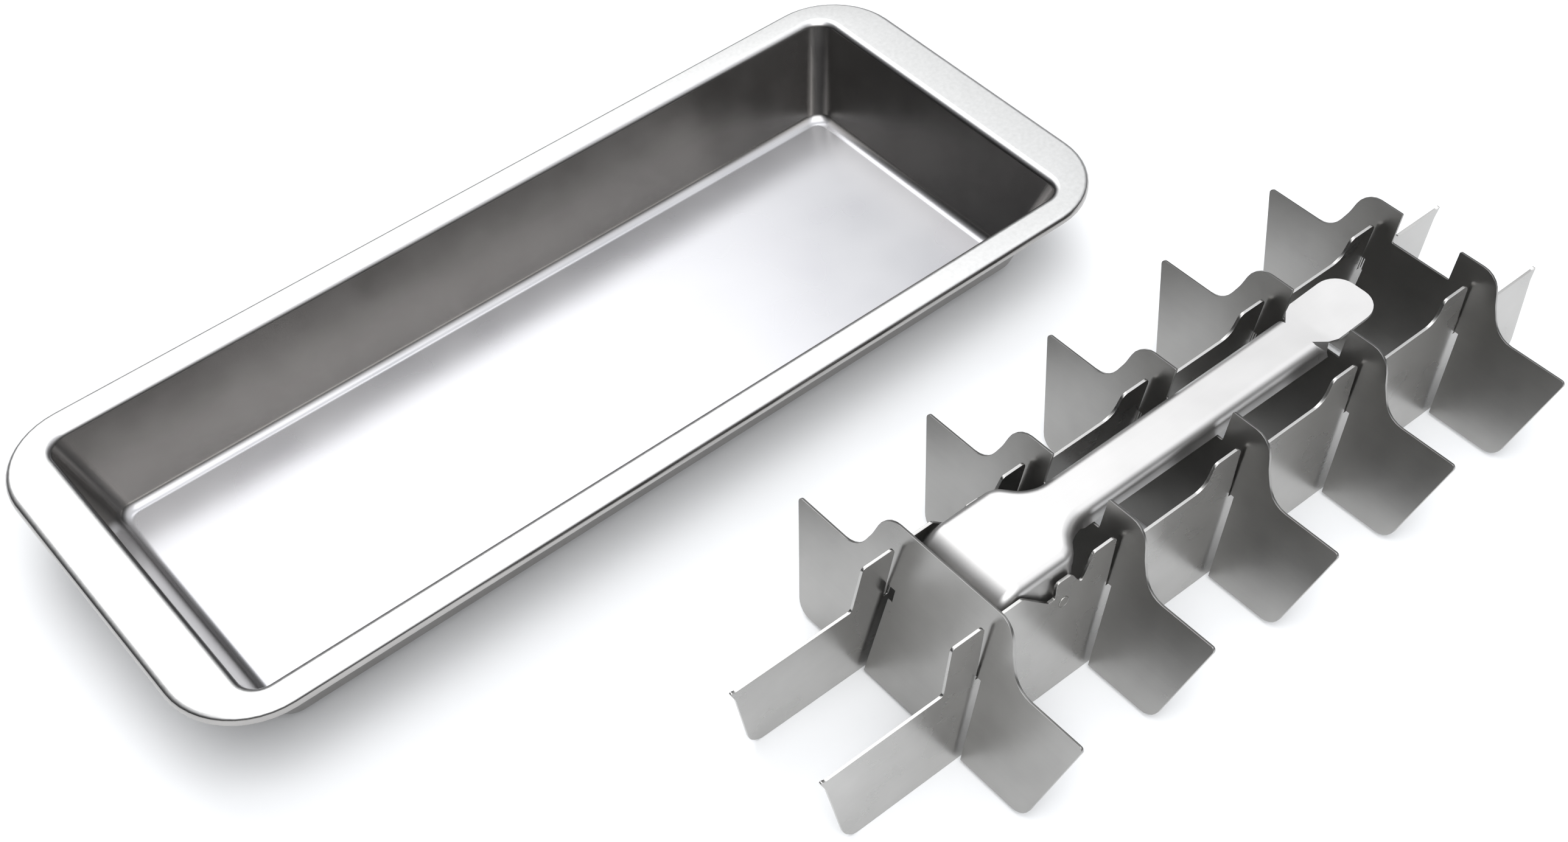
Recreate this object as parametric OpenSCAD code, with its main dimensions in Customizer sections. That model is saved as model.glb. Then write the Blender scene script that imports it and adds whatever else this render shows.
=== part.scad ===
// Lever ice cube tray in stainless sheet: a drawn pan, and beside it the divider that lifts out of
// it, standing on the same surface. The divider is two long walls, five leaning cross plates that
// interlock with them, and a lever on two rivets. Millimetres, +Z up. The origin is the middle of
// the pan's underside, +X runs along the pan towards the tip of the lever.

/* [Pan] */
// Length over the rim
pan_l = 276; // [250:1:320]
// Width over the rim
pan_w = 115.6; // [108:0.2:140]
// Height of the rim
pan_h = 27.5; // [24:0.5:36]
// Sheet thickness of the pan
pan_t = 0.7; // [0.5:0.1:1]
// Flat rim at the two ends
end_rim_w = 14; // [8:0.5:18]
// Flat rim along the two sides
side_rim_w = 8; // [6:0.5:12]
// Slope of the pan's walls from upright
pan_draft = 18; // [8:1:22]
// Rounding between floor and walls, inside
floor_r = 3.2; // [2:0.1:6]
// Corner rounding of the mouth
mouth_r = 5.4; // [5:0.2:12]
// Corner rounding of the rim's outline
rim_r = 21.5; // [10:0.5:24]
// Height of the turned-down edge of the rim
lip_h = 2.4; // [1.5:0.1:4]

/* [Divider] */
// Distance between the feet of neighbouring cross plates
pitch = 40; // [36:0.5:44]
// Sheet thickness of walls and plates
sheet_t = 0.8; // [0.6:0.05:1]
// Width over the two long walls, at the height of the lever's pivot
walls_w = 31.2; // [30:0.2:36]
// How far the walls splay outwards towards their feet, from upright
splay = 3; // [0:0.25:4]
// Lean of the cross plates towards the lever's tip
lean = 16.8; // [12:0.2:20]
// Foot of a wall's end beyond the foot of the outer plate
wall_reach = 32.8; // [24:0.2:36]
// How far a wall's end leans out at its top
wall_flare = 4.6; // [2:0.2:7]
// Height of the walls at their two ends
wall_end_h = 25.2; // [24.4:0.2:27]
// Height of the walls between the plates
wall_low_h = 31.8; // [30.5:0.1:33]
// Height of the horn in front of each plate but the first
horn_h = 37.2; // [36.2:0.1:38]
// Height of the walls round the first plate, under the lever's root
root_h = 38.5; // [38:0.1:38.8]
// Divider's place beside the pan, from the pan's middle to the divider's middle
divider_side = 133.5; // [126:0.5:160]
// How far the first plate's foot stands from the pan's middle, towards the lever's root
divider_back = 5; // [0:0.5:40]

/* [Cross plates] */
// Width of a plate at its foot
foot_w = 77.2; // [70:0.2:80]
// Width of a plate at the top of its wings
wing_w = 94.6; // [88:0.2:98]
// Height of the wings, along the plate
wing_h = 29.6; // [28:0.2:31]
// How far the middle stands over the lever
crown_over = 2.7; // [2.2:0.1:3.5]
// Width of the middle, at its sides
crown_w = 43.8; // [42:0.2:48]
// Width of the notch that takes the lever
notch_w = 18; // [17:0.2:20]
// Height at which wall and plate cross, where a plate rocks
lock_h = 23; // [21:0.2:24]
// Width of a plate's slot for a wall
slot_w = 3.2; // [2:0.1:3.6]
// Rock of the first plate when the lever is up
first_rock = 4; // [2:0.25:5]
// Rock of the other plates
rock = 2.5; // [1:0.25:3]

/* [Lever] */
// Height of the lever's top over the surface
lever_h = 39.5; // [39.3:0.1:40]
// Sheet thickness of the lever
lever_t = 0.8; // [0.6:0.1:1]
// Width of the handle at the hood
handle_w = 13.2; // [11:0.2:15]
// Width of the handle at its tip
handle_end_w = 13.6; // [12:0.2:15.4]
// Depth of the handle's folded sides
handle_d = 4.9; // [4:0.1:5]
// Width of the hood over the root
hood_w = 27; // [25:0.2:27.4]
// Depth of the hood's folded sides
hood_d = 5; // [3:0.1:6]
// Rounding of the hood's nose, down behind the first plate
nose_r = 8; // [5:0.5:9]
// Nose of the hood from the first plate's foot
nose_x = 14.3; // [14:0.1:16]
// Pivot of the lever from the first plate's foot
pivot_x = 33; // [30:0.5:34]
// Height of the pivot
pivot_h = 28; // [25:0.5:28]
// Diameter of the rivets
rivet_d = 3; // [2.5:0.1:4]
// End of the handle from the first plate's foot, where the tip bends up
handle_x = 128; // [110:0.5:131]
// End of the tip from the first plate's foot
tip_x = 146.4; // [138:0.1:160]
// Width of the tip
tip_w = 15.6; // [12:0.2:17]

/* [Hidden] */
plates = 5;
// Gap between pieces that pass or rest on each other
gap = 0.3;
// Running clearance of the lever's ears on the rivets, and of the rivets in the walls
run_fit = 0.06;
set_fit = 0.02;
// What a cut runs past the face it opens
over = 2;
// Angle between two points of a rounded corner, and the fillet's steps
arc_step = 15;
fillet_steps = 5;
// Thickness of the slices that a skin is hulled from
slice_t = 0.01;

// Pan
mouth_l = pan_l - 2 * end_rim_w;
mouth_w = pan_w - 2 * side_rim_w;
wall_skin = pan_t / cos(pan_draft);

// Divider
wall_at_pivot = (walls_w - sheet_t) / 2;
wall_foot = pivot_h - (pivot_h - sheet_t / 2 * sin(splay)) / cos(splay);
foot_lift = 0.8;
wall_corner_r = 5;
lip_corner = [1.6, 3.2, 0.7];
horn_foot = 2.0;
horn_back = 1.1;
horn_foot_r = 5;
horn_r = 2.2;
first_horn_foot = 3.1;
second_horn_back = 2.4;
root_l = 8.3;
saddle_x = [28.4, 30.4, 30.9, 35.6];
saddle_h = [30.9, 30.9, 35.3, 35.2];
dip_x = 38.4;
dip_h = 30.3;
strut_l = 4.4;
edge_r = 1.2;
fine_r = 0.4;

// A plate's crossing with a wall: its middle line at the top of its slot
cross_h = (lock_h + gap + sheet_t / 2 * sin(lean)) / cos(lean);
cross_at = [cross_h * sin(lean), cross_h * cos(lean)];
rock_spare = 0.5;
slot_gap = 0.35;

// Cross plate
foot_r = 4.5;
wing_r = 1;
crown_h = (lever_h + crown_over) / cos(lean);
crown_lean = 1.2;
// The curves between wing and crown, as shares of the crown's rise over the wing
crown_r_share = 0.43;
waist_r_share = 0.48;
crown_r = (crown_h - wing_h) * crown_r_share;
waist_r = (crown_h - wing_h) * waist_r_share;
waist_run = 4.6;
notch_floor = (lever_h - handle_d - gap) / cos(lean) - sheet_t / 2 * tan(lean);
hook_h = 3.1;
hook_w = 0.9;
first_hook_w = 2.6;

// Lever
shoulder_x = pivot_x + 4.8;
neck_x = shoulder_x + 5.7;
shoulder_r = 5;
neck_r = 8;
ear_front_x = [22.8, 27.4];
ear_drop = 6;
ear_r = 4.6;
ear_y = hood_w / 2;
nose_drop = 1.5;
tip_rise = 3;
tip_r = 6;
tip_step = 2;
head_d = 5.2;
head_t = 0.6;
rivet_proud = 0.1;

function unit(v) = v / norm(v);
function flat(p) = [p[0], p[1]];

// The points of one rounded corner at b, between a and c
function corner(a, b, c, r) =
    let (u = unit(a - b), v = unit(c - b), half = acos(u * v) / 2)
    r == 0 ? [b] :
    let (centre = b + unit(u + v) * r / sin(half),
         from = b + u * r / tan(half) - centre,
         to = b + v * r / tan(half) - centre,
         start = atan2(from[1], from[0]),
         turn = atan2(from[0] * to[1] - from[1] * to[0], from * to),
         steps = max(1, ceil(abs(turn) / arc_step)))
    [for (i = [0 : steps]) centre + r * [cos(start + turn * i / steps), sin(start + turn * i / steps)]];

// An outline of [x, y, radius] corners as plain points
function rounded(path) =
    let (n = len(path))
    [for (i = [0 : n - 1])
        each corner(flat(path[(i + n - 1) % n]), flat(path[i]), flat(path[(i + 1) % n]), path[i][2])];

function mirrored(path) = concat(path, [for (i = [len(path) - 1 : -1 : 0]) [path[i][0], -path[i][1], path[i][2]]]);

function plate_foot(k) = [(k - 1) * pitch - divider_back, -divider_side];
function rock_of(k) = k == 1 ? first_rock : rock;

module at_divider() {
    translate([-divider_back, -divider_side, 0]) children();
}

// A face drawn in X and Z, given a thickness across, from y - t / 2 to y + t / 2
module across(y, t) {
    translate([0, y + t / 2, 0])
        rotate([90, 0, 0])
            linear_extrude(t)
                children();
}

// A flat slab with rounded corners, centred on the origin
module slab(l, w, r, z, h) {
    translate([0, 0, z])
        linear_extrude(h)
            polygon(rounded([[l / 2, w / 2, r], [-l / 2, w / 2, r], [-l / 2, -w / 2, r], [l / 2, -w / 2, r]]));
}

// The bowl of the pan as a solid: mouth size at the rim's height, sloping walls and a rounded floor
module bowl(l, w, corner_r, fillet, floor_z, rise) {
    turn = 90 - pan_draft;
    wall_in = (pan_h - floor_z - fillet * (1 - cos(turn))) * tan(pan_draft);
    hull() {
        slab(l + 2 * rise * tan(pan_draft), w + 2 * rise * tan(pan_draft), corner_r, pan_h + rise, slice_t);
        for (i = [0 : fillet_steps]) {
            a = turn * i / fillet_steps;
            inset = wall_in + fillet * (sin(turn) - sin(a));
            slab(l - 2 * inset, w - 2 * inset, corner_r - fillet * (sin(turn) - sin(a)),
                 floor_z + fillet * (1 - cos(a)), slice_t);
        }
    }
}

module pan() {
    color("gainsboro")
    difference() {
        union() {
            bowl(mouth_l + 2 * wall_skin, mouth_w + 2 * wall_skin, mouth_r + wall_skin, floor_r + pan_t, 0, -slice_t);
            slab(pan_l, pan_w, rim_r, pan_h - pan_t, pan_t);
            difference() {
                slab(pan_l, pan_w, rim_r, pan_h - lip_h, lip_h);
                slab(pan_l - 2 * pan_t, pan_w - 2 * pan_t, rim_r - pan_t, pan_h - lip_h - over, lip_h + over);
            }
        }
        bowl(mouth_l, mouth_w, mouth_r, floor_r, pan_t, over);
    }
}

// Edges of a wall's slot at height z: the front one leaves room for the plate's rock
function slot_front(k, z) =
    let (a = lean - rock_of(k) - rock_spare, s = sheet_t / 2 + slot_gap)
    (k - 1) * pitch + cross_at[0] - s * cos(a) + (z - cross_at[1] - s * sin(a)) * tan(a);
function slot_back(k, z) =
    let (s = sheet_t / 2 + slot_gap)
    (k - 1) * pitch + cross_at[0] + s * cos(lean) + (z - cross_at[1] + s * sin(lean)) * tan(lean);

function slot_path(k, front_h, back_h) = [
    [slot_front(k, front_h), front_h, edge_r],
    [slot_front(k, lock_h), lock_h, 0],
    [slot_back(k, lock_h), lock_h, 0],
    [slot_back(k, back_h), back_h, fine_r]];

function wall_end() = [
    [-wall_reach, wall_foot, wall_corner_r],
    [-wall_reach - wall_flare + lip_corner[0] / 2, wall_end_h - lip_corner[1], lip_corner[1] / 2],
    [-wall_reach - wall_flare - lip_corner[0] / 2, wall_end_h + lip_corner[2], fine_r],
    [-wall_reach - wall_flare + lip_corner[0] / 2, wall_end_h, edge_r]];

// From the near end over the first plate, the saddle at the pivot and the horns to the far end
function wall_path() = concat(
    wall_end(),
    [[-first_horn_foot, wall_end_h, edge_r], [0, root_h, edge_r]],
    slot_path(1, root_h, root_h),
    [[slot_back(1, root_h) + root_l, root_h, edge_r],
     [saddle_x[0], saddle_h[0], edge_r / 2],
     [saddle_x[1], saddle_h[1], fine_r],
     [saddle_x[2], saddle_h[2], edge_r],
     [saddle_x[3], saddle_h[3], edge_r],
     [dip_x, dip_h, edge_r / 2],
     [pitch + second_horn_back, horn_h, edge_r]],
    slot_path(2, horn_h, wall_low_h),
    [for (k = [3 : plates]) each concat(
        [[(k - 1) * pitch - horn_foot, wall_low_h, horn_foot_r],
         [(k - 1) * pitch + horn_back, horn_h, horn_r]],
        slot_path(k, horn_h, wall_low_h))],
    [[slot_back(plates, wall_low_h) + strut_l, wall_low_h, edge_r],
     [slot_back(plates, wall_low_h) + strut_l + wall_low_h - wall_end_h, wall_end_h, edge_r]],
    [for (i = [len(wall_end()) - 1 : -1 : 0])
        [(plates - 1) * pitch - wall_end()[i][0], wall_end()[i][1], wall_end()[i][2]]]);

// Middle of a wall, across, at height z
function wall_y(z) = wall_at_pivot + (pivot_h - z) * tan(splay);

// A long wall, splayed about the line of the rivets
module wall(side) {
    at_divider()
        translate([0, side * wall_at_pivot, pivot_h])
            difference() {
                rotate([side * splay, 0, 0])
                    translate([0, 0, -pivot_h])
                        across(0, sheet_t)
                            polygon(rounded(wall_path()));
                across(0, sheet_t + over)
                    translate([pivot_x, 0])
                        circle(d = rivet_d + 2 * set_fit, $fn = 48);
            }
}

module left_wall() {
    color("silver") wall(1);
}

module right_wall() {
    color("silver") wall(-1);
}

// Half of a plate's outline, from the foot up to the crown, with the lever's notch if wanted
function plate_half(notched) = concat(
    [[foot_lift, foot_w / 2, foot_r],
     [wing_h, wing_w / 2, wing_r],
     [wing_h, crown_w / 2 + waist_run, waist_r],
     [wing_h + waist_r, crown_w / 2 + crown_lean, waist_r],
     [crown_h, crown_w / 2 - crown_lean, crown_r]],
    notched ? [[crown_h, notch_w / 2, fine_r], [notch_floor, notch_w / 2, fine_r]] : []);

// The slot for a wall, slanting as the wall does, with a slit above it on the wall's inner side
module plate_slot(hook) {
    foot = wall_y(-over * cos(lean));
    top = wall_y(cross_h * cos(lean));
    polygon([[-over, foot - slot_w / 2], [cross_h, top - slot_w / 2],
             [cross_h, top + slot_w / 2], [-over, foot + slot_w / 2]]);
    translate([cross_h - fine_r, top - sheet_t / 2 - hook]) square([hook_h + fine_r, hook]);
}

// A cross plate in its own plane: X along the plate upwards, Y across
module plate_face(notched) {
    difference() {
        polygon(rounded(mirrored(plate_half(notched))));
        for (side = [0, 1])
            mirror([0, side, 0])
                plate_slot(notched ? hook_w : first_hook_w);
    }
}

module cross_plate(k) {
    color("lightgray")
    translate([plate_foot(k)[0], plate_foot(k)[1], 0])
        rotate([0, lean - 90, 0])
            linear_extrude(sheet_t, center = true)
                plate_face(k > 1);
}

module cross_plate_1() {
    cross_plate(1);
}

module cross_plate_2() {
    cross_plate(2);
}

module cross_plate_3() {
    cross_plate(3);
}

module cross_plate_4() {
    cross_plate(4);
}

module cross_plate_5() {
    cross_plate(5);
}

// Plan of hood and handle, drawn in by inset, from x to the handle's end
module lever_plan(x, end, inset) {
    polygon(rounded(mirrored([
        [x, hood_w / 2 - inset, 0],
        [shoulder_x - inset / 2, hood_w / 2 - inset, shoulder_r - inset],
        [neck_x - inset / 2, handle_w / 2 - inset, neck_r + inset],
        [end, handle_end_w / 2 - inset, 0]])));
}

// The folded sides, as a band under the plan's edge
module lever_sides(x, end, depth) {
    translate([0, 0, lever_h - depth])
        linear_extrude(depth)
            intersection() {
                difference() {
                    lever_plan(nose_x, handle_x, 0);
                    lever_plan(nose_x - over, handle_x + over, lever_t);
                }
                translate([x, -hood_w]) square([end - x, 2 * hood_w]);
            }
}

// The hood from the side: a strip from the lip of the nose over its roll to the shoulder
module hood_strip() {
    polygon(rounded([
        [nose_x, lever_h - nose_r - nose_drop, 0],
        [nose_x, lever_h, nose_r],
        [shoulder_x - shoulder_r, lever_h, 0],
        [shoulder_x - shoulder_r, lever_h - lever_t, 0],
        [nose_x + lever_t, lever_h - lever_t, nose_r - lever_t],
        [nose_x + lever_t, lever_h - nose_r - nose_drop, 0]]));
}

// The hood's folded side: a shallow band that runs down to the rivet as an ear
module ear_face() {
    intersection() {
        polygon(rounded([
            [nose_x + lever_t / 2, 0, 0],
            [nose_x + lever_t / 2, lever_h - lever_t / 2, nose_r - lever_t / 2],
            [shoulder_x, lever_h - lever_t / 2, 0],
            [shoulder_x, 0, 0]]));
        polygon(rounded([
            [nose_x, lever_h, 0],
            [nose_x, lever_h - hood_d, 0],
            [ear_front_x[0], lever_h - hood_d, edge_r],
            [ear_front_x[1], lever_h - hood_d - ear_drop, edge_r],
            [pivot_x - ear_r, pivot_h - ear_r, ear_r - fine_r],
            [pivot_x + ear_r, pivot_h - ear_r, ear_r - fine_r],
            [pivot_x + ear_r, lever_h, 0]]));
    }
}

module tip_plan() {
    polygon(rounded(mirrored([
        [-lever_t, (handle_end_w - lever_t) / 2, 0],
        [0, (handle_end_w - lever_t) / 2, 0],
        [tip_step, tip_w / 2, tip_step],
        [tip_x - handle_x, tip_w / 2, tip_r]])));
}

module lever() {
    color("whitesmoke")
    at_divider()
        difference() {
            union() {
                across(0, hood_w) hood_strip();
                translate([0, 0, lever_h - lever_t])
                    linear_extrude(lever_t)
                        lever_plan(shoulder_x - shoulder_r - over, handle_x, 0);
                lever_sides(shoulder_x - shoulder_r, handle_x, handle_d);
                for (side = [-1, 1])
                    across(side * (ear_y - lever_t / 2), lever_t) ear_face();
                translate([handle_x, 0, lever_h - lever_t])
                    rotate([0, -tip_rise, 0])
                        linear_extrude(lever_t)
                            tip_plan();
            }
            across(0, hood_w + over)
                translate([pivot_x, pivot_h])
                    circle(d = rivet_d + 2 * run_fit, $fn = 48);
        }
}

// A rivet: all but flush with the wall's outer face, through wall and ear, with its head inside
module rivet(side) {
    color("darkgray")
    at_divider()
        translate([pivot_x, 0, pivot_h])
            rotate([-side * 90, 0, 0]) {
                translate([0, 0, ear_y - lever_t - gap - head_t])
                    cylinder(h = walls_w / 2 + rivet_proud - ear_y + lever_t + gap + head_t, d = rivet_d, $fn = 48);
                translate([0, 0, ear_y - lever_t - gap - head_t])
                    cylinder(h = head_t, d = head_d, $fn = 48);
            }
}

module left_rivet() {
    rivet(1);
}

module right_rivet() {
    rivet(-1);
}

pan();
left_wall();
right_wall();
cross_plate_1();
cross_plate_2();
cross_plate_3();
cross_plate_4();
cross_plate_5();
lever();
left_rivet();
right_rivet();
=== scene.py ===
from math import cos, pi, radians, sin, sqrt, tan

import bmesh
import bpy
from mathutils import Matrix, Vector


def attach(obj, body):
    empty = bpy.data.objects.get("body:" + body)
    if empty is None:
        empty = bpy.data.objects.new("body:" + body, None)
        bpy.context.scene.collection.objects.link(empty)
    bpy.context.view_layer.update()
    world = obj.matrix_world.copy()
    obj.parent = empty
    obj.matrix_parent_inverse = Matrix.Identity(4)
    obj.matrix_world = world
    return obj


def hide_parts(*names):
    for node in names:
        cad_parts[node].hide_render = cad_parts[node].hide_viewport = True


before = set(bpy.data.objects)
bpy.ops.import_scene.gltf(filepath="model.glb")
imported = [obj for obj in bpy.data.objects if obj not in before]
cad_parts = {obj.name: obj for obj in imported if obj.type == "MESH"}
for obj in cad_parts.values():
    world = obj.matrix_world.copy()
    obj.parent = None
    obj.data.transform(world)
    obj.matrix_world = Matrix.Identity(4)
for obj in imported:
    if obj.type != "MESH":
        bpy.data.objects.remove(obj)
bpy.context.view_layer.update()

MM = 0.001

# In millimetres: points this near are merged, points this near to a level lie on it, and points
# this far past an edge are beyond it
SAME, HAIR, CLEAR = 0.002, 0.01, 1
# Limits for a face's normal: an upright face's z is under the first, and a face looks roughly or
# squarely in a direction if the normal's part along it is over the second or the third
UPRIGHT, ROUGHLY, SQUARELY = 0.2, 0.6, 0.9

# Camera, solved on the photograph: millimetres in the part's frame, and degrees
CAMERA_AT = (-207.527, -366.472, 436.802)
CAMERA_HEADING = 53.4181
CAMERA_DIP = 47.4628
CAMERA_ROLL = -3.7623
LENS_PX = 3787.507
PHOTO_W = 2576
SENSOR_W = 36

# The pan, in millimetres, as in the part's source
PAN_L, PAN_W, PAN_H = 276, 115.6, 27.5
PAN_SHEET = 0.7
MOUTH_L, MOUTH_W = 248, 99.6
MOUTH_CORNER_R, RIM_CORNER_R = 5.4, 21.5
PAN_DRAFT = radians(18)
FLOOR_R = 3.2
MOUTH_BEND_R = 2.2
LIP_H, LIP_BEND_R = 2.4, 1.4
CORNERS = [(x, y) for x in (-1, 1) for y in (-1, 1)]

# How wide the sheets' edges are broken
PAN_EDGE, SHEET_EDGE = 0.12, 0.13

# The divider stands beside the pan, turned the same way
DIVIDER_AT = (-5, -133.5)

# The lever, measured from the first plate's foot and the divider's middle line. The X values are in
# order from the nose to the tip, and the H values are heights over the ground.
LEVER_TOP, LEVER_SHEET = 39.5, 0.8
NOSE_X, NOSE_R, NOSE_FOOT_H = 14.3, 8, 30
HOOD_HALF, HANDLE_HALF, HANDLE_END_HALF, TIP_HALF = 13.5, 6.6, 6.8, 7.8
SHOULDER_X, NECK_X, CREASE_X, TIP_X = 37.8, 43.5, 128, 146.4
SHOULDER_R, NECK_R, TIP_R = 5, 8, 6
# The angle by which the outline turns at shoulder and neck, and from where the sides turn with it
SHOULDER_TURN, ROUNDED_FROM_X = radians(50.4), SHOULDER_X - 4
FOLD_R, FOLD_END_X = 2.6, CREASE_X - 3
TIP_WIDE_X, TIP_RISE = CREASE_X + 2.4, radians(3)
# The sides: the slant behind the nose, the foot, the hem and the ears
SLANT_FROM_X, SLANT_TO_X = NOSE_X + FOLD_R, 22
SIDE_FOOT_H = 34.6
HEM_FROM_X, HEM_H, HEM_OUT, HEM_UP = NECK_X + 3, 35.9, 0.55, 0.1
PIVOT_X, PIVOT_H, EAR_R = 33, 28, 4.6
EAR_FRONT_X, EAR_RUN, EAR_DROP = 22.8, 4.6, 6
# Angles round the rivet at which the ear is scored; past 15 degrees the shoulder's rounding is near
EAR_STEPS = (-90, -75, -60, -45, -30, -15, 0, 15, 90)

RIVET_R, RIVET_HEAD_R, RIVET_HEAD_T = 1.5, 2.6, 0.6
RIVET_IN, RIVET_OUT = 11.8, 15.7
RIVET_DOME, RIVET_TAIL_EDGE, RIVET_SPARE = 0.4, 0.2, 0.06

# Patterns in the steel, in millimetres: the rolling bands' width and length, the clouds, and the
# waves along x, y and z. A pattern's ends are its values at the darkest and the lightest.
BAND_W, BAND_L = 0.9, 40
CLOUD_W, CLOUD_SHARE = 14, 0.9
WAVES = (45, 20, 300)
PATTERN_ENDS = (0.15, 0.85)
# The axis along which a sheet was rolled: the object's length or its width
LENGTHWISE, CROSSWISE = 0, 1
# A zone of flats fades in with the normal's z, a zone above a level over this height under it
FLAT_FADE = (0.5, 0.95)
LEVEL_FADE = 0.3

# Light: the tent's tone by height over the horizon in degrees, its tint and its strength. Towards
# its open side the tone fades to a share, between two cosines of the angle to that direction.
TENT = [(0, 0.04), (15, 0.06), (25, 0.2), (32, 0.4), (38, 0.75), (46, 1.0), (52, 1.1), (90, 1.1)]
TENT_TINT = (0.98, 0.99, 1.01)
TENT_STRENGTH = 1.5
OPEN_WAY, OPEN_FADE, OPEN_SHARE = (-0.81, 0.59, 0.0), (0.12, 0.75), 0.2
# Each soft box's turn and rise in degrees, its size in metres and its watts; how far all are away
SOFTBOXES = {"far_softbox": (72, 56, 0.8, 4.2), "fill_softbox": (238, 64, 1.2, 8.0)}
SOFTBOX_AWAY = 1.3
FLOOR_SIZE = 40


# Modelling by hand

def at(*place):
    return tuple(v * MM for v in place)


def clear():
    bpy.ops.object.select_all(action="DESELECT")


def choose(piece):
    """Select one piece alone and make it the active one"""
    clear()
    piece.select_set(True)
    bpy.context.view_layer.objects.active = piece


def open_up(name):
    """Name the primitive just added, settle its place in its mesh and open it in edit mode"""
    piece = bpy.context.object
    piece.name = piece.data.name = name
    bpy.ops.object.transform_apply(location=True, rotation=True, scale=True)
    bpy.ops.object.mode_set(mode="EDIT")
    return piece


def close_up():
    bpy.ops.object.mode_set(mode="OBJECT")


def pick(piece, kind, where):
    """Select each vertex or edge whose points all lie where asked"""
    bpy.ops.mesh.select_mode(type=kind)
    bpy.ops.mesh.select_all(action="DESELECT")
    shape = bmesh.from_edit_mesh(piece.data)
    for part in shape.verts if kind == "VERT" else shape.edges:
        points = [part] if kind == "VERT" else part.verts
        if all(where(*(v.co / MM)) for v in points):
            part.select_set(True)
    shape.select_flush_mode()
    bmesh.update_edit_mesh(piece.data)


def pick_faces(piece, where=lambda middle, facing: True):
    """Select each face whose middle and normal are as asked"""
    bpy.ops.mesh.select_mode(type="FACE")
    bpy.ops.mesh.select_all(action="DESELECT")
    shape = bmesh.from_edit_mesh(piece.data)
    for face in shape.faces:
        if where(face.calc_center_median() / MM, face.normal):
            face.select_set(True)
    bmesh.update_edit_mesh(piece.data)


def move(*step):
    bpy.ops.transform.translate(value=at(*step))


def stretch(factors, centre):
    bpy.ops.transform.resize(value=factors, center_override=at(*centre))


def extrude(*step):
    bpy.ops.mesh.extrude_region_move(TRANSFORM_OT_translate={"value": at(*step)})


def round_off(width, steps, kind="EDGES"):
    bpy.ops.mesh.bevel(offset=width * MM, offset_type="OFFSET", segments=steps, profile=0.5,
                       affect=kind, clamp_overlap=False)


def cut(point, normal):
    """Score what is selected along a plane; bisect wants the plane's normal of length one"""
    bpy.ops.mesh.bisect(plane_co=at(*point), plane_no=Vector(normal).normalized())


def merge_doubles():
    bpy.ops.mesh.select_all(action="SELECT")
    bpy.ops.mesh.remove_doubles(threshold=SAME * MM)


def finish_with(piece, kind, **settings):
    """Add a modifier with its settings and apply it"""
    bpy.context.view_layer.objects.active = piece
    modifier = piece.modifiers.new(kind.lower(), kind)
    for name, value in settings.items():
        setattr(modifier, name, value)
    bpy.ops.object.modifier_apply(modifier=modifier.name)


def thicken(piece, sheet):
    finish_with(piece, "SOLIDIFY", thickness=sheet * MM, offset=-1, use_even_offset=True)


def deburr(piece, width):
    """Break the sharp edges that blanking leaves"""
    finish_with(piece, "BEVEL", width=width * MM, segments=2, limit_method="ANGLE",
                angle_limit=radians(50), use_clamp_overlap=True)


def smooth(piece, angle=32):
    choose(piece)
    bpy.ops.object.shade_smooth_by_angle(angle=radians(angle))
    finish_with(piece, "WEIGHTED_NORMAL", keep_sharp=True, weight=50)


def place_divider_piece(piece):
    """Move a piece modelled at the first plate's foot to where the divider stands"""
    choose(piece)
    move(*DIVIDER_AT, 0)
    bpy.ops.object.transform_apply(location=True, rotation=False, scale=False)


def hand_over(piece, node, body, steel):
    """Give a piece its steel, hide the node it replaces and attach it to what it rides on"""
    piece.data.materials.clear()
    piece.data.materials.append(steel)
    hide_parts(node)
    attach(piece, body)


# Materials

def linear(code):
    """sRGB hex to a linear colour"""
    parts = [int(code[i:i + 2], 16) / 255 for i in (1, 3, 5)]
    return tuple(c / 12.92 if c <= 0.04045 else ((c + 0.055) / 1.055) ** 2.4 for c in parts) + (1,)


def add(tree, kind, properties=None, stops=None, **sockets):
    """Add a node: its properties, its ramp's stops, and its inputs as values or as outputs to link.
    An input is named in the call with _ for a space, or in_ and its number."""
    node = tree.nodes.new("ShaderNode" + kind)
    for name, value in (properties or {}).items():
        setattr(node, name, value)
    if stops:
        # a new ramp has two stops already
        for place, colour in stops[2:]:
            node.color_ramp.elements.new(place)
        for element, (place, colour) in zip(node.color_ramp.elements, sorted(stops)):
            element.position = place
            element.color = colour
    for name, value in sockets.items():
        socket = node.inputs[int(name[3:]) if name[3:].isdigit() else name.replace("_", " ")]
        if isinstance(value, bpy.types.NodeSocket):
            tree.links.new(value, socket)
        else:
            socket.default_value = value
    return node


def new_finish(name):
    """A new material; gives back it, its tree and its shader"""
    finish = bpy.data.materials.new(name)
    finish.use_nodes = True
    return finish, finish.node_tree, finish.node_tree.nodes["Principled BSDF"]


def noise(tree, where, scale, detail, roughness):
    return add(tree, "TexNoise", Vector=where, Scale=scale, Detail=detail, Roughness=roughness)


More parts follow.
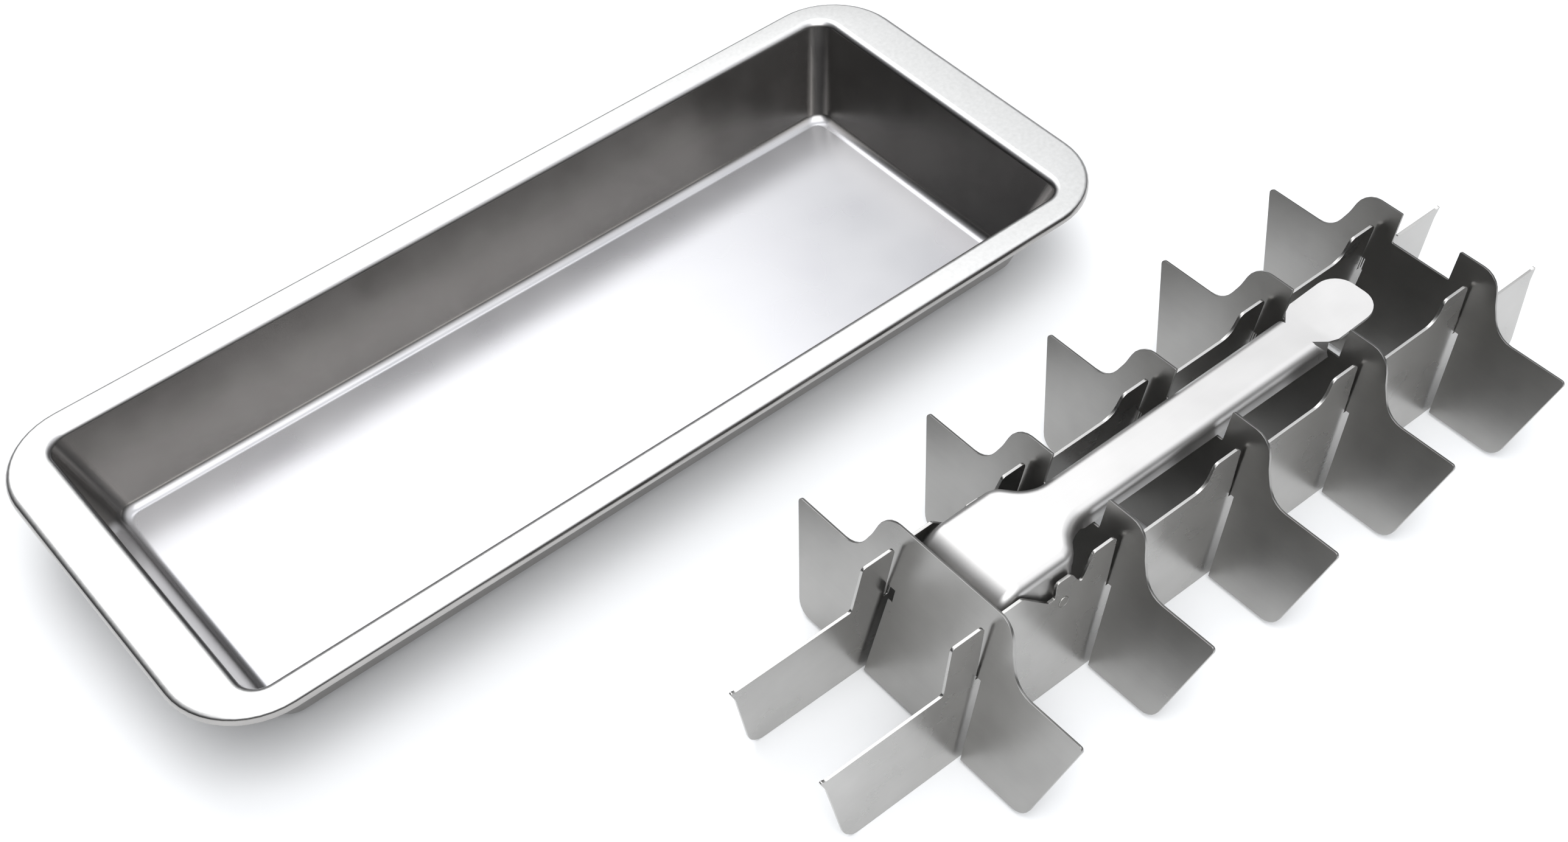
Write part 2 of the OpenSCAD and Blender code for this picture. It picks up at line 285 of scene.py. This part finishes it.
def stainless(name, colour, gloss, grain_along, zones=(), wave_deep=0.03):
    """Stainless steel sheet. The rolls that press it leave faint bands along the sheet, about a
    millimetre wide, and forming leaves it a little wavy and cloudy, so that what it mirrors breaks
    up softly. A zone is (kind, colour, gloss, speck): "flat", which the die doesn't burnish as it
    does the walls, or all above a level in millimetres; its gloss is the zone's own roughness, and
    its colour is painted light laid over the sheet's colour; its pattern is as large as speck, in
    millimetres."""
    steel, tree, shader = new_finish(name)
    where = add(tree, "TexCoord").outputs
    bands = add(tree, "Mapping", Vector=where["Object"],
                Scale=tuple(1 / ((BAND_L if i == grain_along else BAND_W) * MM) for i in range(3)))
    grain = noise(tree, bands.outputs[0], 1, detail=1, roughness=0.4)
    clouds = noise(tree, where["Object"], 1 / (CLOUD_W * MM), detail=2, roughness=0.5)
    mottle = add(tree, "Mix", {"data_type": "FLOAT"}, Factor=CLOUD_SHARE, A=grain.outputs[0],
                 B=clouds.outputs[0])
    tint, rough = tinted(tree, mottle, colour), dulled(tree, mottle, gloss)
    for kind, zone_painted_colour, zone_gloss, speck in zones:
        measure = where["Normal" if kind == "flat" else "Object"]
        height = add(tree, "SeparateXYZ", Vector=measure).outputs["Z"]
        fade = FLAT_FADE if kind == "flat" else at(kind - LEVEL_FADE, kind)
        inside = add(tree, "MapRange", Value=height, From_Min=fade[0], From_Max=fade[1]).outputs[0]
        specks = noise(tree, where["Object"], 1 / (speck * MM), detail=2, roughness=0.5)
        tint = add(tree, "Mix", {"data_type": "RGBA"}, Factor=inside, in_6=tint,
                   in_7=tinted(tree, specks, zone_painted_colour)).outputs[2]
        rough = add(tree, "Mix", {"data_type": "FLOAT"}, Factor=inside, A=rough,
                    B=dulled(tree, specks, zone_gloss)).outputs[0]
    swell = add(tree, "Mapping", Vector=where["Object"], Scale=tuple(1 / (w * MM) for w in WAVES))
    waves = noise(tree, swell.outputs[0], 1, detail=1, roughness=0.4)
    wavy = add(tree, "Bump", Height=waves.outputs[0], Strength=1.0, Distance=wave_deep * MM)
    shader.inputs["Metallic"].default_value = 1
    tree.links.new(tint, shader.inputs["Base Color"])
    tree.links.new(rough, shader.inputs["Roughness"])
    tree.links.new(wavy.outputs[0], shader.inputs["Normal"])
    return steel


def tinted(tree, pattern, colours):
    """The pattern as a colour between two"""
    stops = [(end, linear(colour)) for end, colour in zip(PATTERN_ENDS, colours)]
    return add(tree, "ValToRGB", Fac=pattern.outputs[0], stops=stops).outputs[0]


def dulled(tree, pattern, gloss):
    """The pattern as a roughness between two"""
    return add(tree, "MapRange", Value=pattern.outputs[0], From_Min=PATTERN_ENDS[0],
               From_Max=PATTERN_ENDS[1], To_Min=gloss[0], To_Max=gloss[1]).outputs[0]


# The pan

def drawn_pan():
    """The pan as it is drawn from one sheet: rim with its edge turned down, a tight bend at the
    mouth, sloping walls and a rounded floor"""
    bowl_h = PAN_H - PAN_SHEET
    slope_in = bowl_h * tan(PAN_DRAFT)
    half_l, half_w = MOUTH_L / 2, MOUTH_W / 2
    clear()
    bpy.ops.mesh.primitive_cube_add(size=MM, location=at(0, 0, PAN_H - bowl_h / 2))
    bpy.ops.transform.resize(value=(MOUTH_L, MOUTH_W, bowl_h))
    pan = open_up("drawn_pan")
    # upright corners, then each corner's foot is pushed in, so that the rounding stays as wide
    for x, y in CORNERS:
        pick(pan, "EDGE", lambda px, py, pz: px * x > half_l - CLEAR and py * y > half_w - CLEAR)
        round_off(MOUTH_CORNER_R, steps=12)
    for x, y in CORNERS:
        pick(pan, "VERT", lambda px, py, pz: px * x > 0 and py * y > 0 and pz < PAN_H - CLEAR)
        move(-x * slope_in, -y * slope_in, 0)
    pick_faces(pan, lambda middle, facing: facing.z > SQUARELY and middle.z > PAN_H - CLEAR)
    bpy.ops.mesh.delete(type="FACE")
    pick(pan, "EDGE", lambda x, y, z: z < PAN_SHEET + HAIR)
    turn = pi / 2 - PAN_DRAFT
    round_off(FLOOR_R * tan(turn / 2), steps=7)
    # the rim, drawn out from the mouth; its corners are widened about the corner points of its box
    pick(pan, "EDGE", lambda x, y, z: z > PAN_H - HAIR)
    extrude(0, 0, 0)
    wider, longer = PAN_W / MOUTH_W, PAN_L / MOUTH_L
    stretch((longer, wider, 1), (0, 0, PAN_H))
    rounder = RIM_CORNER_R / MOUTH_CORNER_R
    for x, y in CORNERS:
        pick(pan, "VERT", lambda px, py, pz: outline(px, py, pz) and px * x > 0 and py * y > 0)
        stretch((rounder / longer, rounder / wider, 1), (x * PAN_L / 2, y * PAN_W / 2, PAN_H))
    # the edge turned down all round, and the bends
    pick(pan, "EDGE", outline)
    extrude(0, 0, -LIP_H)
    pick(pan, "EDGE", outline)
    round_off(LIP_BEND_R, steps=4)
    pick(pan, "EDGE", lambda x, y, z: z > PAN_H - HAIR and not outline(x, y, z))
    round_off(MOUTH_BEND_R * tan(turn / 2), steps=5)
    merge_doubles()
    # the pan is open, so its inside has to be told from its outside by the floor
    bpy.ops.mesh.normals_make_consistent(inside=False)
    shape = bmesh.from_edit_mesh(pan.data)
    floor_face = min(shape.faces, key=lambda face: face.calc_center_median().z)
    if floor_face.normal.z < 0:
        bpy.ops.mesh.flip_normals()
    close_up()
    thicken(pan, PAN_SHEET)
    deburr(pan, PAN_EDGE)
    smooth(pan)
    return pan


def outline(x, y, z):
    """The rim's outer edge"""
    return z > PAN_H - HAIR and (abs(x) > MOUTH_L / 2 + CLEAR or abs(y) > MOUTH_W / 2 + CLEAR)


# The divider's flat sheets

def blanked(node, name):
    """A flat sheet as it comes from the blanking press: the node's own outline, its flats each one
    face, and a soft edge all round"""
    choose(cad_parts[node])
    bpy.ops.object.duplicate()
    sheet = bpy.context.object
    sheet.name = sheet.data.name = name
    # the copy drops the marks that the frame gave to its node
    for key in list(sheet.keys()):
        del sheet[key]
    bpy.ops.object.mode_set(mode="EDIT")
    merge_doubles()
    bpy.ops.mesh.dissolve_limited(angle_limit=radians(1))
    close_up()
    deburr(sheet, SHEET_EDGE)
    smooth(sheet)
    return sheet


# The lever

def folded_lever():
    """The lever: one sheet, its sides folded down with a soft bend and the nose rolled down over
    the root"""
    clear()
    bpy.ops.mesh.primitive_plane_add(size=MM, location=at((NOSE_X + SHOULDER_X) / 2, 0, LEVER_TOP))
    bpy.ops.transform.resize(value=(SHOULDER_X - NOSE_X, 2 * HOOD_HALF, 1))
    lever = open_up("folded_lever")
    # the plan: hood, neck, handle and tip, each widened or narrowed as it is drawn out
    width = HOOD_HALF
    x_end = SHOULDER_X
    for x, half in ((NECK_X, HANDLE_HALF), (FOLD_END_X, HANDLE_END_HALF),
                    (CREASE_X, HANDLE_END_HALF), (TIP_WIDE_X, TIP_HALF), (TIP_X, TIP_HALF)):
        pick(lever, "EDGE", lambda px, py, pz: px > x_end - HAIR)
        extrude(x - x_end, 0, 0)
        stretch((1, half / width, 1), (x, 0, LEVER_TOP))
        x_end, width = x, half
    pick_faces(lever)
    bpy.ops.mesh.dissolve_faces()
    slanted = tan(SHOULDER_TURN / 2)
    for x, half, setback in ((SHOULDER_X, HOOD_HALF, SHOULDER_R * slanted),
                             (NECK_X, HANDLE_HALF, NECK_R * slanted), (TIP_X, TIP_HALF, TIP_R)):
        pick(lever, "VERT", lambda px, py, pz: abs(px - x) < HAIR and abs(abs(py) - half) < HAIR)
        round_off(setback, steps=8, kind="VERTICES")
    # drawn down to the ears' foot, the nose rolled, and the folds rounded up to the crease
    pick_faces(lever)
    extrude(0, 0, -(LEVER_TOP - PIVOT_H + EAR_R))
    merge_doubles()
    bpy.ops.mesh.normals_make_consistent(inside=False)
    pick(lever, "EDGE", lambda x, y, z: x < NOSE_X + HAIR and z > LEVER_TOP - HAIR)
    round_off(NOSE_R, steps=12)
    pick_folds(lever)
    round_off(FOLD_R, steps=6)
    return lever


def pick_folds(lever):
    """Select the edges between the top and the sides, from the nose's foot to the crease"""
    bpy.ops.mesh.select_mode(type="EDGE")
    bpy.ops.mesh.select_all(action="DESELECT")
    shape = bmesh.from_edit_mesh(lever.data)
    for edge in shape.edges:
        if len(edge.link_faces) != 2 or edge.calc_face_angle() < radians(60):
            continue
        start, end = (v.co / MM for v in edge.verts)
        before_crease = max(start.x, end.x) < FOLD_END_X + HAIR
        high = min(start.z, end.z) > LEVER_TOP - NOSE_R - HAIR
        front = max(start.x, end.x) < NOSE_X + NOSE_R + HAIR
        steep = abs(start.z - end.z) > (start - end).length * sin(radians(30))
        if before_crease and ((high and not steep) or (front and (high or steep))):
            edge.select_set(True)
    bmesh.update_edit_mesh(lever.data)


def keep_side(x, z):
    """Where the folded sides stay: over the slant behind the nose, at the ear and on the handle"""
    if x < SLANT_TO_X:
        share = max(0, x - SLANT_FROM_X) / (SLANT_TO_X - SLANT_FROM_X)
        return z > NOSE_FOOT_H + share * (SIDE_FOOT_H - NOSE_FOOT_H)
    if x < EAR_FRONT_X:
        return z > SIDE_FOOT_H
    if x < EAR_FRONT_X + EAR_RUN:
        return z > SIDE_FOOT_H - (x - EAR_FRONT_X) / EAR_RUN * EAR_DROP
    if x < PIVOT_X + EAR_R:
        return True
    return z > SIDE_FOOT_H and x < CREASE_X


def is_waste(middle, facing):
    """What is cut away: the underside, the sides outside their outline, the nose under its foot and
    all that hangs from the tip"""
    outside = not keep_side(middle.x, middle.z)
    return (facing.z < -SQUARELY or
            (outside and abs(facing.y) > ROUGHLY and facing.z < UPRIGHT) or
            (outside and middle.x > ROUNDED_FROM_X and abs(facing.z) < UPRIGHT) or
            (facing.x < -ROUGHLY and middle.z < NOSE_FOOT_H) or
            (middle.x > CREASE_X and abs(facing.z) < ROUGHLY))


def score_sides(lever):
    """Score the sides where their outline will run"""
    for height in (SIDE_FOOT_H, HEM_H, NOSE_FOOT_H):
        pick_faces(lever, lambda middle, facing: abs(facing.z) < UPRIGHT)
        cut((0, 0, height), (0, 0, 1))
    ear = [PIVOT_X + EAR_R * sin(radians(turn)) for turn in EAR_STEPS]
    for x in (SLANT_TO_X, EAR_FRONT_X, EAR_FRONT_X + EAR_RUN, CREASE_X, *ear):
        # the crease runs over the top too
        pick_faces(lever, lambda middle, facing: abs(facing.z) < UPRIGHT or x == CREASE_X)
        cut((x, 0, 0), (1, 0, 0))
    # the slanting edges, each only up to where it ends
    nose_slant = (NOSE_FOOT_H - SIDE_FOOT_H, 0, SLANT_TO_X - SLANT_FROM_X)
    for start, normal, end in (((SLANT_FROM_X, 0, NOSE_FOOT_H), nose_slant, SLANT_TO_X),
                               ((EAR_FRONT_X, 0, SIDE_FOOT_H), (EAR_DROP, 0, EAR_RUN),
                                EAR_FRONT_X + EAR_RUN)):
        pick_faces(lever, lambda middle, facing: abs(facing.z) < UPRIGHT and middle.x < end)
        cut(start, normal)


def trim_lever(lever):
    """Cut the sides to their outline with ears for the rivets, turn out the narrow hem along the
    handle, bend up the flat tip, and give the sheet its thickness. The blanked edges stay square,
    because a bevel finds no room beside the rounded shoulder."""
    score_sides(lever)
    pick_faces(lever, is_waste)
    bpy.ops.mesh.delete(type="FACE")
    # hem: the sides' foot turned a little outwards along the handle
    for side in (-1, 1):
        pick(lever, "VERT", lambda x, y, z: (x > HEM_FROM_X and y * side > 0 and
                                             abs(z - SIDE_FOOT_H) < HAIR))
        move(0, side * HEM_OUT, HEM_UP)
    # the tip bends up from the crease
    pick(lever, "VERT", lambda x, y, z: x > CREASE_X + HAIR)
    bpy.ops.transform.rotate(value=TIP_RISE, orient_axis="Y",
                             center_override=at(CREASE_X, 0, LEVER_TOP))
    round_ears(lever)
    merge_doubles()
    bpy.ops.mesh.dissolve_limited(angle_limit=radians(0.5))
    close_up()
    thicken(lever, LEVER_SHEET)
    drill_ears(lever)
    smooth(lever)
    place_divider_piece(lever)
    return lever


def round_ears(lever):
    """Lift the foot of the ears, column by column, to a half circle round the rivets; the front
    column, outside the circle, goes up to the slanting edge's end"""
    foot = PIVOT_H - EAR_R
    low = [v.co.x / MM for v in bmesh.from_edit_mesh(lever.data).verts if v.co.z / MM < foot + HAIR]
    for column in sorted({round(x, 3) for x in low}):
        pick(lever, "VERT", lambda x, y, z: abs(x - column) < SAME and z < foot + HAIR)
        reach = abs(column - PIVOT_X)
        if reach > EAR_R + HAIR:
            move(0, 0, SIDE_FOOT_H - EAR_DROP - foot)
        else:
            move(0, 0, EAR_R - sqrt(max(0, EAR_R ** 2 - reach ** 2)))


def add_pin(radius, length, y):
    """Add a round pin on the rivets' axis"""
    clear()
    bpy.ops.mesh.primitive_cylinder_add(vertices=32, radius=radius * MM, depth=length * MM,
                                        location=at(PIVOT_X, y, PIVOT_H), rotation=(pi / 2, 0, 0))


def drill_ears(lever):
    """Make the rivets' holes through both ears in one go"""
    add_pin(RIVET_R + RIVET_SPARE, 4 * HOOD_HALF, 0)
    drill = bpy.context.object
    finish_with(lever, "BOOLEAN", operation="DIFFERENCE", object=drill, solver="EXACT")
    bpy.data.objects.remove(drill)


# The rivets

def rivet(name, side):
    """A rivet of plain wire: a low domed head inside the ear, its tail spread flush in the wall"""
    add_pin(RIVET_R, RIVET_OUT - RIVET_IN, side * (RIVET_IN + RIVET_OUT) / 2)
    piece = open_up(name)
    pick_faces(piece, lambda middle, facing: facing.y * side < -SQUARELY)
    extrude(0, 0, 0)
    wider = RIVET_HEAD_R / RIVET_R
    stretch((wider, 1, wider), (PIVOT_X, side * RIVET_IN, PIVOT_H))
    extrude(0, -side * RIVET_HEAD_T, 0)
    pick(piece, "EDGE", lambda x, y, z: abs(y * side - RIVET_IN + RIVET_HEAD_T) < HAIR)
    round_off(RIVET_DOME, steps=4)
    pick(piece, "EDGE", lambda x, y, z: abs(y * side - RIVET_OUT) < HAIR)
    round_off(RIVET_TAIL_EDGE, steps=2)
    merge_doubles()
    bpy.ops.mesh.normals_make_consistent(inside=False)
    close_up()
    smooth(piece, angle=40)
    place_divider_piece(piece)
    return piece


# Camera, floor and light

def make_camera():
    """The camera that took the photograph, from its heading, dip and roll"""
    heading, dip, roll = (radians(a) for a in (CAMERA_HEADING, CAMERA_DIP, CAMERA_ROLL))
    forward = Vector((cos(dip) * cos(heading), cos(dip) * sin(heading), -sin(dip)))
    level = Vector((sin(heading), -cos(heading), 0))
    upright = level.cross(forward)
    right = cos(roll) * level + sin(roll) * upright
    up = cos(roll) * upright - sin(roll) * level
    bpy.ops.object.camera_add()
    camera = bpy.context.object
    camera.name = "Camera"
    camera.data.sensor_width = SENSOR_W
    camera.data.lens = LENS_PX * SENSOR_W / PHOTO_W
    camera.data.clip_start = 10 * MM
    turn = Matrix((right, up, -forward)).transposed().to_4x4()
    camera.matrix_world = Matrix.Translation(Vector(CAMERA_AT) * MM) @ turn
    bpy.context.scene.camera = camera


def lay_floor():
    """White matt paper under the object"""
    clear()
    bpy.ops.mesh.primitive_plane_add(size=FLOOR_SIZE)
    paper = bpy.context.object
    paper.name = "floor"
    finish, _, shader = new_finish("white_paper")
    shader.inputs["Base Color"].default_value = linear("#F2F3F4")
    shader.inputs["Roughness"].default_value = 0.8
    shader.inputs["Specular IOR Level"].default_value = 0.1
    paper.data.materials.append(finish)


def light_tent():
    """A white tent round the object, bright overhead and behind it, darker towards the horizon and
    darkest on the left, where the tent is open"""
    world = bpy.data.worlds.new("light_tent")
    world.use_nodes = True
    tree = world.node_tree
    ground = tree.nodes["Background"]
    way = add(tree, "TexCoord").outputs["Generated"]
    height = add(tree, "SeparateXYZ", Vector=way).outputs["Z"]
    stops = [(sin(radians(rise)), (*(part * tone for part in TENT_TINT), 1)) for rise, tone in TENT]
    lit = add(tree, "ValToRGB", Fac=height, stops=stops)
    left = add(tree, "VectorMath", {"operation": "DOT_PRODUCT"}, in_0=way, in_1=OPEN_WAY)
    shade = add(tree, "MapRange", Value=left.outputs["Value"], From_Min=OPEN_FADE[0],
                From_Max=OPEN_FADE[1], To_Min=1.0, To_Max=OPEN_SHARE)
    shaded = add(tree, "VectorMath", {"operation": "SCALE"}, in_0=lit.outputs[0],
                 Scale=shade.outputs[0])
    tree.links.new(shaded.outputs[0], ground.inputs["Color"])
    ground.inputs["Strength"].default_value = TENT_STRENGTH
    bpy.context.scene.world = world


def hang_softbox(name, turn, rise, size, power):
    """A square soft box that looks at the object from a turn about it and a rise over the floor"""
    bpy.ops.object.light_add(type="AREA")
    box = bpy.context.object
    box.name = name
    box.data.size = size
    box.data.energy = power
    turn, rise = radians(turn), radians(rise)
    away = Vector((cos(rise) * cos(turn), cos(rise) * sin(turn), sin(rise)))
    box.location = away * SOFTBOX_AWAY
    box.rotation_euler = away.to_track_quat("Z", "Y").to_euler()


make_camera()
lay_floor()
light_tent()
for name, setting in SOFTBOXES.items():
    hang_softbox(name, *setting)
bpy.context.scene.view_settings.view_transform = "Standard"

# The pan is drawn from satin sheet: its walls slide over the die and shine, its flats don't, and
# the rim, held by the clamp, stays matt. The rim's much lighter colour is a painted highlight, and
# the flats' slightly cooler colour is a painted tint of the cool light they mirror
pan_steel_painted_rim_light = stainless("satin_drawn_stainless_painted_rim_light", ("#A09E9C", "#B0AEAC"), (0.19, 0.27),
                      LENGTHWISE, wave_deep=0.06,
                      zones=[("flat", ("#A0A0A3", "#AEAEB0"), (0.24, 0.32), 30),
                             (PAN_H - 0.2, ("#C4C4C3", "#D2D2D1"), (0.34, 0.42), 1.2)])
# Blanked from rolled sheet as it comes from the mill
sheet_steel = stainless("rolled_stainless_walls", ("#ABAAA8", "#BDBCBA"), (0.24, 0.32), LENGTHWISE)
# The plates are the same rolled sheet as the walls, painted darker: painted shade for the dark
# wings and wells between the plates
plate_steel_painted_shade = stainless("rolled_stainless_plates_painted_shade", ("#9C9B99", "#AFAEAC"), (0.26, 0.34), CROSSWISE)
# Folded sheet, painted lighter than the divider's other sheets: a painted highlight that keeps the
# hood bright
lever_steel_painted_light = stainless("stainless_lever_painted_light", ("#C2C1C0", "#D0CFCE"), (0.37, 0.45),
                        LENGTHWISE, wave_deep=0.02)
# Cut from drawn wire, which runs across the divider
rivet_steel = stainless("stainless_wire", ("#A9A8A5", "#C4C3C0"), (0.22, 0.34), CROSSWISE)

hand_over(drawn_pan(), "pan", "pan", pan_steel_painted_rim_light)
for side in ("left", "right"):
    wall = blanked(side + "_wall", side + "_long_wall")
    hand_over(wall, side + "_wall", "divider", sheet_steel)
for k in range(1, 6):
    plate = blanked("cross_plate_%d" % k, "plate_sheet_%d" % k)
    hand_over(plate, "cross_plate_%d" % k, "plate_%d" % k, plate_steel_painted_shade)
hand_over(trim_lever(folded_lever()), "lever", "lever", lever_steel_painted_light)
for side, way in (("left", 1), ("right", -1)):
    pin = rivet(side + "_pivot_rivet", way)
    hand_over(pin, side + "_rivet", "divider", rivet_steel)
